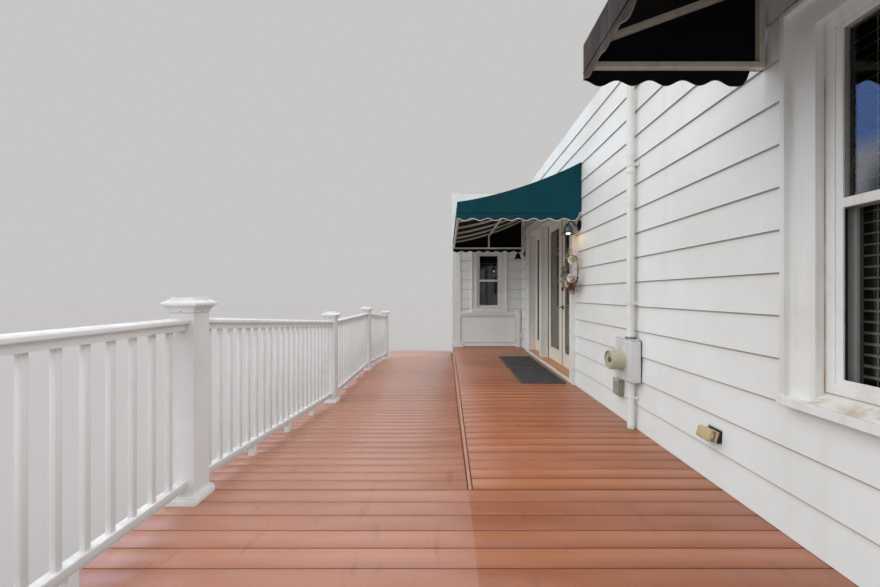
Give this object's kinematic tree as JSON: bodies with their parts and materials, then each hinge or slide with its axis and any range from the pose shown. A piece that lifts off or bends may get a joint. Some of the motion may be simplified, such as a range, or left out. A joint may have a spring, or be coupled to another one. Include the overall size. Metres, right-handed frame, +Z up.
{
  "type": "front porch",
  "caption": "Raised front porch with a composite deck and access ramp, white baluster railing, lap-sided house wall with glazed double doors and cloth awnings.",
  "frame": {"origin": "on the ground under the middle of the porch's box", "axes": "+X from the outer railing to the house, +Y along the house wall from the near end to the far end, +Z up"},
  "size_m": [3.242, 10.18, 3.66],
  "materials": {
    "composite_decking": "reddish-brown grained composite boards",
    "frame_timber": "treated softwood, rough sawn",
    "trim_strip": "tan composite face board, dusty",
    "white_vinyl": "white vinyl railing, satin",
    "foundation_concrete": "parged concrete block",
    "wall_core": "painted inner face of the house wall",
    "white_siding": "white painted lap siding, wood grain",
    "white_trim": "white painted trim, satin",
    "door_paint": "white painted door leaves, semi-gloss",
    "sill_wood": "orange-brown stained sill board",
    "pane_glass": "clear double glazing",
    "black_hardware": "black lever and deadbolt",
    "hinge_steel": "satin steel butt hinges",
    "window_blind": "slatted blind and sheer curtain",
    "green_canvas": "dark green awning canvas with black lining",
    "charcoal_canvas": "weathered charcoal awning canvas with black lining",
    "awning_tube": "beige painted frame tube",
    "lantern_metal": "dark grey painted sheet metal",
    "bulb_glass": "frosted warm bulb",
    "wreath_vine": "twisted vine with artificial flowers",
    "box_grey": "light grey painted steel meter box",
    "meter_beige": "beige meter housing",
    "conduit_white": "white painted conduit",
    "outlet_tan": "tan outlet cover",
    "mat_rubber": "charcoal ribbed door mat"
  },
  "bodies": {
    "root": {"level_decking": "composite_decking", "ramp_decking": "composite_decking", "deck_joists": "frame_timber", "deck_beams": "frame_timber", "deck_fascia": "composite_decking", "step_skirt": "trim_strip", "rail_posts": "white_vinyl", "post_caps": "white_vinyl", "post_collars": "white_vinyl", "level_railings": "white_vinyl", "ramp_railings": "white_vinyl", "foundation": "foundation_concrete", "near_wall": "wall_core", "wall_over_doors": "wall_core", "far_wall": "wall_core", "wing_wall": "wall_core", "wing_side_wall": "wall_core", "lap_siding": "white_siding", "corner_board": "white_trim", "wing_panel": "white_trim", "door_frame": "white_trim", "door_casing": "white_trim", "door_sill": "sill_wood", "door_hinges": "hinge_steel", "side_panel": "door_paint", "window_frames": "white_trim", "window_sashes": "white_trim", "window_glass": "pane_glass", "window_shades": "window_blind", "door_awning_cloth": "green_canvas", "door_awning_frame": "awning_tube", "window_awning_cloth": "charcoal_canvas", "window_awning_frame": "awning_tube", "lanterns": "lantern_metal", "lantern_bulbs": "bulb_glass", "wreath": "wreath_vine", "meter_box": "box_grey", "meter": "meter_beige", "conduit": "conduit_white", "wall_outlets": "outlet_tan", "door_mats": "mat_rubber"},
    "near_door": {"near_leaf": "door_paint", "near_leaf_glass": "pane_glass", "near_leaf_hardware": "black_hardware"},
    "far_door": {"far_leaf": "door_paint", "far_leaf_glass": "pane_glass", "far_leaf_hardware": "hinge_steel"}
  },
  "joints": [
    {"name": "near_door_hinge", "type": "hinge", "parent": "root", "child": "near_door", "pos_m": [1.576, 0, 1.5955], "axis": [0, 0, -1], "range_deg": [0, 100]},
    {"name": "far_door_hinge", "type": "hinge", "parent": "root", "child": "far_door", "pos_m": [1.576, 1.397, 1.5955], "axis": [0, 0, 1], "range_deg": [0, 100]}
  ]
}
